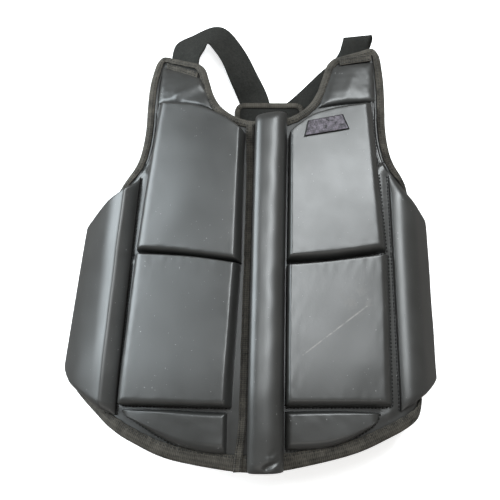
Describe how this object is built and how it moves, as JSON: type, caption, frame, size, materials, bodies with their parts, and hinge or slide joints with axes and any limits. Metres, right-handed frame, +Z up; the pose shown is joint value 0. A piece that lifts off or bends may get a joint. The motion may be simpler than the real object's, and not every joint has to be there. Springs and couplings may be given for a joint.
{
  "type": "martial arts chest guard",
  "caption": "Padded leather chest guard lying front up: quilted front pads beside a centre roll, folding side wings, taped edges, web shoulder and side straps, bound back yoke.",
  "frame": {"origin": "on the floor under the middle of the lying guard's box", "axes": "+Z up out of the padded front, +Y towards the neck, +X to the right of someone looking down on it"},
  "size_m": [0.4082, 0.5264, 0.1195],
  "materials": {
    "leather": "satin black synthetic leather, lightly scuffed",
    "binding_tape": "ribbed dark brown-grey edging tape",
    "webbing": "flat woven black webbing",
    "plate": "metallic mauve-grey, grained, with a raised rim"
  },
  "bodies": {
    "root": {"base_panel": "leather", "upper_pad_left": "leather", "upper_pad_right": "leather", "lower_pad_left": "leather", "lower_pad_right": "leather", "belly_pad_left": "leather", "belly_pad_right": "leather", "shoulder_pad_left": "leather", "shoulder_pad_right": "leather", "side_pad_left": "leather", "side_pad_right": "leather", "centre_roll": "leather", "hem_binding": "binding_tape", "rear_binding_left": "binding_tape", "rear_binding_right": "binding_tape", "armhole_binding_left": "binding_tape", "armhole_binding_right": "binding_tape", "neck_binding": "binding_tape", "centre_tape": "binding_tape", "strap_tack_left": "binding_tape", "strap_tack_right": "binding_tape", "yoke_binding": "binding_tape", "shoulder_strap_left": "webbing", "shoulder_strap_right": "webbing", "side_strap_left": "webbing", "side_strap_right": "webbing", "back_yoke": "webbing", "badge_plate": "plate"}
  },
  "joints": []
}
